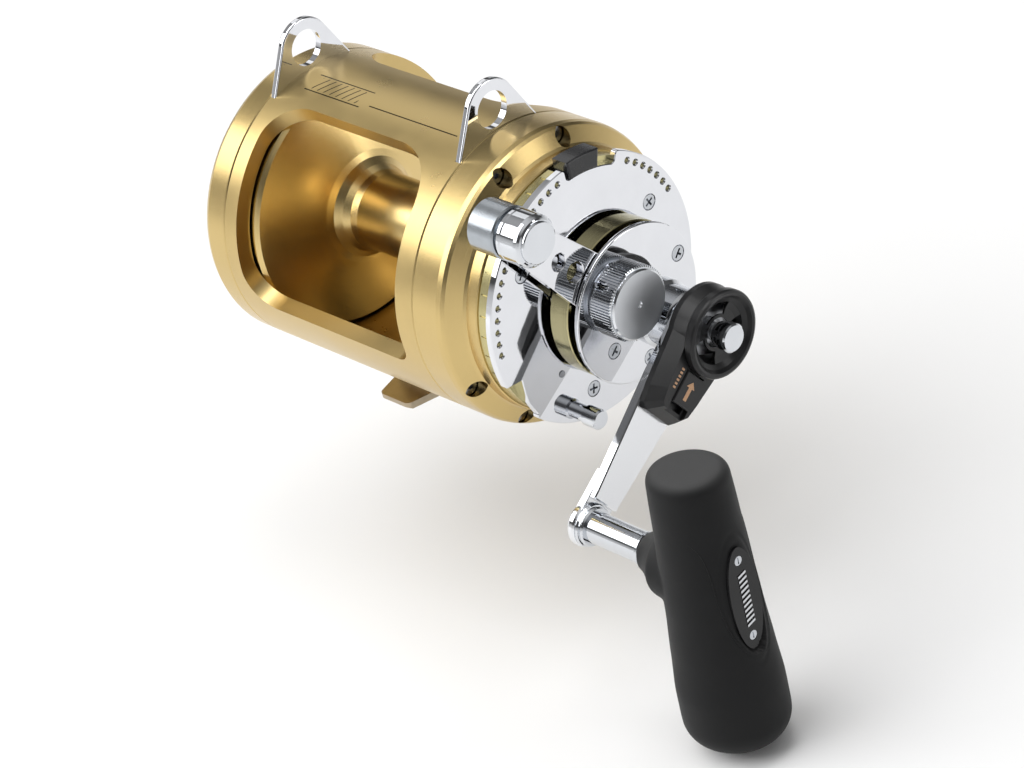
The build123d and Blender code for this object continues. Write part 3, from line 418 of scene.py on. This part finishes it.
brass_wheel = turned_metal("wheel_brass", (0.70, 0.56, 0.28), 0.25, SPOOL_AXIS, marks=0.8,
                           grain=2200.0, stretch=0.4, tint=0.12)
black_gloss = moulded("button_black", (0.012, 0.012, 0.013), 0.26, grain=1800.0,
                      depth=0.000008, coat=0.3)
black_satin = moulded("housing_black", (0.008, 0.008, 0.0085), 0.36, grain=2600.0,
                      depth=0.000014, coat=0.1)
badge_black = moulded("badge_black", (0.004, 0.004, 0.0045), 0.2, grain=1500.0,
                      depth=0.000006, coat=0.06)
grip_rubber = rubber("grip_rubber")
drag_carbon = carbon("drag_carbon")
copper_ink = ink("copper_ink", (0.62, 0.36, 0.20))
rib_chrome = chrome("rib_chrome", (0.62, 0.63, 0.65), 0.12)

FINISHES = {
    gold_frame: ["frame"],
    gold_plate: ["left_side_plate", "right_side_plate", "left_cap", "gear_cover"],
    gold_ring: ["index_ring"],
    gold_spool: ["spool"],
    olive_brass: ["spacer_ring"],
    bronze_foot: ["reel_foot"],
    plate_chrome: ["quadrant_plate", "cover_disc", "harness_lugs", "drag_lever"],
    part_chrome: ["lever_cap", "keeper_post", "grip_axle", "shift_button"],
    screw_chrome: ["quadrant_screws", "disc_screws", "badge_screws"],
    sleeve_chrome: ["shaft_sleeve"],
    tube_chrome: ["grip_tube"],
    knob_chrome: ["preset_knob"],
    arm_chrome: ["handle_arm"],
    satin_steel: ["lever_barrel", "pressure_plate"],
    screw_steel: ["foot_screws", "right_plate_screws", "left_plate_screws", "detent_pin",
                  "quadrant_dowel"],
    gear_steel: ["high_gear", "low_gear", "anti_reverse_ratchet", "upper_pawl", "lower_pawl",
                 "pawl_pins", "handle_shaft", "shift_rod", "shift_spring", "arm_nut"],
    shaft_steel: ["high_pinion", "low_pinion", "spool_shaft", "cam_sleeve", "clicker_pawl",
                  "strike_button_spring"],
    bearing_steel: ["left_spool_bearing", "right_spool_bearing", "outer_shaft_bearing",
                    "handle_shaft_bearing"],
    brass_wheel: ["clicker_ratchet"],
    black_gloss: ["strike_button", "clicker_button"],
    black_satin: ["shift_housing", "hub_dish", "release_slider"],
    badge_black: ["grip_badge"],
    grip_rubber: ["grip"],
    drag_carbon: ["drag_washer"],
}

for material, names in FINISHES.items():
    for name in names:
        slots = nodes[name].data.materials
        if len(slots) == 0:
            slots.append(material)
        for index in range(len(slots)):
            slots[index] = material


# ---------------------------------------------------------------- the rubber grip
GRIP_PLACE = (Matrix.Translation((GRIP_X, CRANK_AXIS[0], CRANK_AXIS[1]))
              @ Matrix.Rotation(-GRIP_TILT, 4, "X"))
LEANING = GRIP_PLACE @ Matrix.Rotation(-GRIP_LEAN, 4, "Y")
# height from the axle and half width across X
GRIP_SIZES = [(-GRIP_DOWN, 0.0212), (-0.062, 0.0213), (-0.046, 0.0213), (-0.030, 0.0201),
              (-0.012, 0.0188), (0.008, 0.0178), (0.028, 0.0168), (GRIP_UP, 0.0160)]
GRIP_FLATTER = 0.001               # the half width across Y is this much less
CURVED_SHARE = 0.35                # how much of the blend between two sizes is an S-curve
LOW_ROUND = 0.012                  # radius of the low end's edge
TOP_ROUND = 0.0042                 # and of the top edge
GRIP_TURNS = 72                    # points round the grip and round its neck
# rings of the grip: their number in each stretch, and how much height the stretch covers
LOW_RINGS = 12
LOW_STRETCH = 0.0125
SIDE_RINGS = 40
SIDE_FROM = -0.058
SIDE_STRETCH = 0.0994
TOP_RINGS = 8
TOP_STRETCH = 0.0045
# neck: X from the grip's middle and radius, from the tube's end into the body
NECK_FLARE = [(-0.0300, 0.0078), (-0.0285, 0.0082), (-0.0265, 0.0089), (-0.0245, 0.0099),
              (-0.0225, 0.0112), (-0.0205, 0.0126), (-0.0185, 0.0142), (-0.0100, 0.0150)]
MELT_CELL = 0.0007                 # cell of the remesh that joins body and neck
EASE_FACTOR = 0.5                  # smoothing of the joined mesh
EASE_ROUNDS = 14
BADGE_HALF_Y = 0.0076
BADGE_HALF_Z = 0.0220
BADGE_SIDE_X = 0.008               # only the side beyond this carries the badge
RECESS_FLOOR_X = 0.0169
# sizes of the ovals round the badge, in badge sizes
RECESS_OVAL = 1.06
GROOVE_INSIDE = 1.16
GROOVE_OUTSIDE = 1.32
WORKED_OVAL = 1.4                  # nothing beyond this one is changed
GROOVE_DEPTH = 0.00022
# joint line of the two mouldings: degrees round the grip, and height in millimetres
SEAM_LOOP = [(-165, 27.0), (-140, 27.4), (-115, 27.5), (-92, 27.2), (-72, 26.0), (-56, 23.5),
             (-45, 19.0), (-40, 11.0), (-39, 1.0), (-35, -9.0), (-29, -17.0), (-19, -24.5),
             (-5, -28.5), (12, -29.5), (25, -26.0), (33, -17.0), (38, -7.0), (40, 3.0),
             (42, 12.0), (48, 20.0), (60, 25.0), (80, 27.2), (110, 27.5), (140, 27.4),
             (165, 27.0)]
SEAM_RADIUS = 0.00020


def add_object(name, data):
    made = bpy.data.objects.new(name, data)
    bpy.context.scene.collection.objects.link(made)
    return made


def new_mesh(name, points, faces):
    mesh = bpy.data.meshes.new(name)
    mesh.from_pydata([tuple(p) for p in points], [], faces)
    return mesh


def grip_half(height):
    """Half width of the grip across X at a height, blended between the listed ones."""
    for (h0, a0), (h1, a1) in zip(GRIP_SIZES, GRIP_SIZES[1:]):
        if height <= h1:
            t = max(0.0, (height - h0) / (h1 - h0))
            t = t * t * (3.0 - 2.0 * t) * CURVED_SHARE + t * (1.0 - CURVED_SHARE)
            return a0 + (a1 - a0) * t
    return GRIP_SIZES[-1][1]


def rounded_end(distance, radius):
    """How far a rounded edge draws the side in, this far from the flat end."""
    if distance >= radius:
        return 0.0
    return radius - math.sqrt(max(0.0, radius ** 2 - (radius - distance) ** 2))


def grip_point(height, angle):
    """A point on the upright grip's side, from its axle's height."""
    half = grip_half(height)
    draw = rounded_end(height + GRIP_DOWN, LOW_ROUND) + rounded_end(GRIP_UP - height, TOP_ROUND)
    return Vector(((half - draw) * math.cos(angle),
                   (half - GRIP_FLATTER - draw) * math.sin(angle), height))


def closed_rings(rings):
    """Vertices and faces of a closed shell through rings of points."""
    count = len(rings[0])
    points = [p for ring in rings for p in ring]
    faces = []
    for level in range(len(rings) - 1):
        for k in range(count):
            nxt = (k + 1) % count
            low, high = level * count, (level + 1) * count
            faces.append((low + k, low + nxt, high + nxt, high + k))
    faces.append(tuple(reversed(range(count))))
    faces.append(tuple(range((len(rings) - 1) * count, len(rings) * count)))
    return points, faces


def melted(mesh):
    """A copy of the mesh with its shells joined by a remesh and smoothed."""
    shaping = add_object("grip_rough", mesh)
    melt = shaping.modifiers.new("melt", "REMESH")
    melt.mode = "VOXEL"
    melt.voxel_size = MELT_CELL
    ease = shaping.modifiers.new("ease", "SMOOTH")
    ease.factor = EASE_FACTOR
    ease.iterations = EASE_ROUNDS
    depsgraph = bpy.context.evaluated_depsgraph_get()
    made = bpy.data.meshes.new_from_object(shaping.evaluated_get(depsgraph))
    bpy.data.objects.remove(shaping)
    return made


def sink_badge(mesh):
    """Press the badge's flat recess into the grip, with a shallow groove round it."""
    back = LEANING.inverted()
    for vertex in mesh.vertices:
        local = back @ vertex.co
        oval = math.hypot(local.y / BADGE_HALF_Y, (local.z - BADGE_Z) / BADGE_HALF_Z)
        if local.x < BADGE_SIDE_X or oval > WORKED_OVAL:
            continue
        if oval < RECESS_OVAL:
            local.x = min(local.x, RECESS_FLOOR_X)
        elif GROOVE_INSIDE < oval < GROOVE_OUTSIDE:
            share = (oval - GROOVE_INSIDE) / (GROOVE_OUTSIDE - GROOVE_INSIDE)
            local.x -= GROOVE_DEPTH * math.sin(math.pi * share)
        vertex.co = LEANING @ local


def make_grip():
    """The moulded grip: its body and flared neck melted together, with the badge's recess."""
    turns = [2.0 * math.pi * k / GRIP_TURNS for k in range(GRIP_TURNS)]
    heights = [-GRIP_DOWN + LOW_STRETCH * (k / LOW_RINGS) ** 2 for k in range(LOW_RINGS)]
    heights += [SIDE_FROM + SIDE_STRETCH * k / SIDE_RINGS for k in range(SIDE_RINGS + 1)]
    heights += [GRIP_UP - TOP_STRETCH * (k / TOP_RINGS) ** 2 for k in range(TOP_RINGS, -1, -1)]
    points, faces = closed_rings([[LEANING @ grip_point(h, a) for a in turns] for h in heights])
    neck_points, neck_faces = closed_rings(
        [[GRIP_PLACE @ Vector((x, r * math.cos(a), r * math.sin(a))) for a in turns]
         for x, r in NECK_FLARE])
    faces += [tuple(i + len(points) for i in face) for face in neck_faces]
    mesh = melted(new_mesh("grip_rough", points + neck_points, faces))
    mesh.name = "grip_rubber"
    sink_badge(mesh)
    for polygon in mesh.polygons:
        polygon.use_smooth = True
    mesh.materials.clear()
    mesh.materials.append(grip_rubber)
    grip = add_object("grip_rubber", mesh)
    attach(grip, "grip_body")
    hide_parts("grip")


def make_seam():
    """Joint line between the grip's two mouldings, looping below the badge."""
    data = bpy.data.curves.new("grip_seam", "CURVE")
    data.dimensions = "3D"
    data.bevel_depth = SEAM_RADIUS
    data.bevel_resolution = 2
    spline = data.splines.new("NURBS")
    spline.points.add(len(SEAM_LOOP) - 1)
    spline.use_endpoint_u = True
    spline.order_u = 4
    for point, (angle, height) in zip(spline.points, SEAM_LOOP):
        where = LEANING @ grip_point(height / 1000.0, math.radians(angle))
        point.co = (where.x, where.y, where.z, 1.0)
    data.materials.append(grip_rubber)
    seam = add_object("grip_seam", data)
    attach(seam, "grip_body")


# ---------------------------------------------------------------- plain marks
RIB_COUNT = 11                     # slanted ribs on the badge
RIB_LOW = -0.0105                  # height of the lowest, from the badge's centre
RIB_PITCH = 0.0021
RIB_HALF = 0.0020                  # half its length across the badge
RIB_X = (0.0179, 0.0184)           # foot and top of the ribs, from the grip's middle
INK_DEPTH = (-0.00002, 0.00005)    # underside and top of a print, from the face it is on
# outline of the release pad's arrow: along the handle arm from the shaft, and across it
ARROW = [(0.0210, 0.0010), (0.0235, 0.0036), (0.0235, 0.0020), (0.0288, 0.0020),
         (0.0288, 0.0), (0.0235, 0.0), (0.0235, -0.0016)]
BAR_COUNT = 6                      # bars on the housing
BAR_FROM = 0.0186                  # start of the first, along the arm from the shaft
BAR_PITCH = 0.0015
BAR_WIDTH = 0.0008
BAR_ACROSS = (-0.0078, -0.0062)


def add_prisms(name, outlines, low, high, carry, material, body):
    """Flat pieces as one mesh: outlines in (u, w), thick from low to high, placed by carry."""
    points = []
    faces = []
    for outline in outlines:
        count = len(outline)
        first = len(points)
        for height in (low, high):
            points += [carry(u, w, height) for u, w in outline]
        faces.append(tuple(first + k for k in reversed(range(count))))
        faces.append(tuple(first + k for k in range(count, 2 * count)))
        for k in range(count):
            nxt = (k + 1) % count
            faces.append((first + k, first + nxt, first + nxt + count, first + k + count))
    mesh = new_mesh(name, points, faces)
    mesh.materials.append(material)
    made = add_object(name, mesh)
    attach(made, body)
    return made


def on_badge(u, w, x):
    """u across the badge, w up from its centre, x out from the grip's middle."""
    return LEANING @ Vector((x, u, BADGE_Z + w))


def on_handle(u, w, x):
    """u along the handle arm from the shaft, w across it, x along the spool axis."""
    along = Vector((0.0, math.cos(CRANK_ANGLE), math.sin(CRANK_ANGLE)))
    across = Vector((0.0, -math.sin(CRANK_ANGLE), math.cos(CRANK_ANGLE)))
    centre = Vector((0.0, SHAFT_AXIS[0], SHAFT_AXIS[1]))
    return centre + along * u + across * w + Vector((x, 0.0, 0.0))


def make_badge_ribs():
    """A row of plain slanted ribs on the badge."""
    outlines = []
    for k in range(RIB_COUNT):
        level = RIB_LOW + RIB_PITCH * k
        outlines.append([(-RIB_HALF, level - 0.0010), (RIB_HALF, level - 0.0001),
                         (RIB_HALF, level + 0.0008), (-RIB_HALF, level - 0.0001)])
    ribs = add_prisms("badge_ribs", outlines, RIB_X[0], RIB_X[1], on_badge, rib_chrome,
                      "grip_body")


def make_prints():
    """Plain printed marks: an arrow on the release pad, bars on the housing."""
    under, over = INK_DEPTH
    mark = add_prisms("release_arrow", [ARROW], SLIDER_TOP + under, SLIDER_TOP + over,
                      on_handle, copper_ink, "release")
    low, high = BAR_ACROSS
    outlines = []
    for k in range(BAR_COUNT):
        near = BAR_FROM + BAR_PITCH * k
        far = near + BAR_WIDTH
        outlines.append([(near, low), (far, low), (far, high), (near, high)])
    bars = add_prisms("housing_bars", outlines, HOUSING_TOP + under, HOUSING_TOP + over,
                      on_handle, copper_ink, "crank")


make_grip()
make_seam()
make_badge_ribs()
make_prints()


# ---------------------------------------------------------------- floor, light, camera
FLOOR_HALF = 12.0
FLOOR_GAP = 0.002                  # the floor lies this far under the grip's lowest point
AIM = (0.05, 0.0, 0.04)            # what the lamps point at
# lamps: name, place, width, height and power in watts
LAMPS = [("key", (-1.05, -0.9, 0.85), 1.0, 0.6, 5.5),
         ("front", (-0.3, -1.3, 0.7), 0.6, 0.5, 3.0),
         ("top", (0.2, 0.1, 1.5), 0.7, 0.5, 4.0),
         ("rear", (-1.1, 0.75, 1.0), 0.7, 0.5, 1.0),
         ("side", (1.5, 0.9, 0.45), 0.5, 0.9, 4.0)]
SUN_SHINES = (0.35, 0.55, -1.0)    # the direction its light travels in
SUN_POWER = 1.8
SUN_SPREAD = math.radians(55.0)
# brightness of the room: height of the direction, 0 at the horizon and below, and the grey
ROOM = ((0.0, 0.95), (0.14, 0.7), (0.24, 0.10), (0.56, 0.12), (0.72, 0.55), (0.88, 0.95))
ROOM_STRENGTH = 0.75
SENSOR_WIDTH = 36.0                # millimetres, as is the lens
LENS = 132.4
CAMERA_AT = (1.03147, -0.76752, 0.80588)
CAMERA_RIGHT = (0.68954197, 0.69806182, -0.19298075)
CAMERA_UP = (-0.2779382, 0.50110871, 0.81953671)
CAMERA_BACK = (0.66879162, -0.51146823, 0.53955353)


def make_floor():
    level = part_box("grip")[0].z - FLOOR_GAP
    corners = [(-FLOOR_HALF, -FLOOR_HALF, level), (FLOOR_HALF, -FLOOR_HALF, level),
               (FLOOR_HALF, FLOOR_HALF, level), (-FLOOR_HALF, FLOOR_HALF, level)]
    mesh = new_mesh("floor", corners, [(0, 1, 2, 3)])
    floor = add_object("floor", mesh)
    material, _, shader = start("floor_white", (0.86, 0.86, 0.86), 0.0, 0.9)
    shader.inputs["Specular IOR Level"].default_value = 0.1
    mesh.materials.append(material)


def make_lamp(name, where, width, height, power):
    data = bpy.data.lights.new(name, "AREA")
    data.shape = "RECTANGLE"
    data.size = width
    data.size_y = height
    data.energy = power
    lamp = add_object(name, data)
    lamp.location = where
    towards = Vector(AIM) - Vector(where)
    lamp.rotation_mode = "QUATERNION"
    lamp.rotation_quaternion = towards.to_track_quat("-Z", "Y")


def make_sun():
    """A very wide sun from the left of the view, for an even pale floor."""
    data = bpy.data.lights.new("wide_sun", "SUN")
    data.energy = SUN_POWER
    data.angle = SUN_SPREAD
    sun = add_object("wide_sun", data)
    sun.rotation_mode = "QUATERNION"
    sun.rotation_quaternion = Vector(SUN_SHINES).to_track_quat("-Z", "Y")


def make_world():
    """Soft studio room: bright low down and overhead, with a dark band between."""
    world = bpy.data.worlds.new("studio")
    bpy.context.scene.world = world
    world.use_nodes = True
    tree = world.node_tree
    back = tree.nodes["Background"]
    height = split(tree, node(tree, "ShaderNodeTexCoord").outputs["Generated"])[2]
    ramp = node(tree, "ShaderNodeValToRGB")
    while len(ramp.color_ramp.elements) < len(ROOM):
        ramp.color_ramp.elements.new(0.5)
    for element, (position, level) in zip(ramp.color_ramp.elements, ROOM):
        element.position = position
        element.color = rgba((level, level, level))
    tree.links.new(height, ramp.inputs["Fac"])
    tree.links.new(ramp.outputs["Color"], back.inputs["Color"])
    back.inputs["Strength"].default_value = ROOM_STRENGTH


def make_camera():
    data = bpy.data.cameras.new("photo_view")
    data.sensor_width = SENSOR_WIDTH
    data.lens = LENS
    data.clip_start = 0.05
    data.clip_end = 60.0
    camera = add_object("photo_view", data)
    turn = Matrix((CAMERA_RIGHT, CAMERA_UP, CAMERA_BACK)).transposed()
    camera.matrix_world = Matrix.Translation(CAMERA_AT) @ turn.to_4x4()
    bpy.context.scene.camera = camera


make_floor()
make_world()
make_camera()
for name, where, width, height, power in LAMPS:
    make_lamp(name, where, width, height, power)
make_sun()
bpy.context.scene.view_settings.view_transform = "Standard"
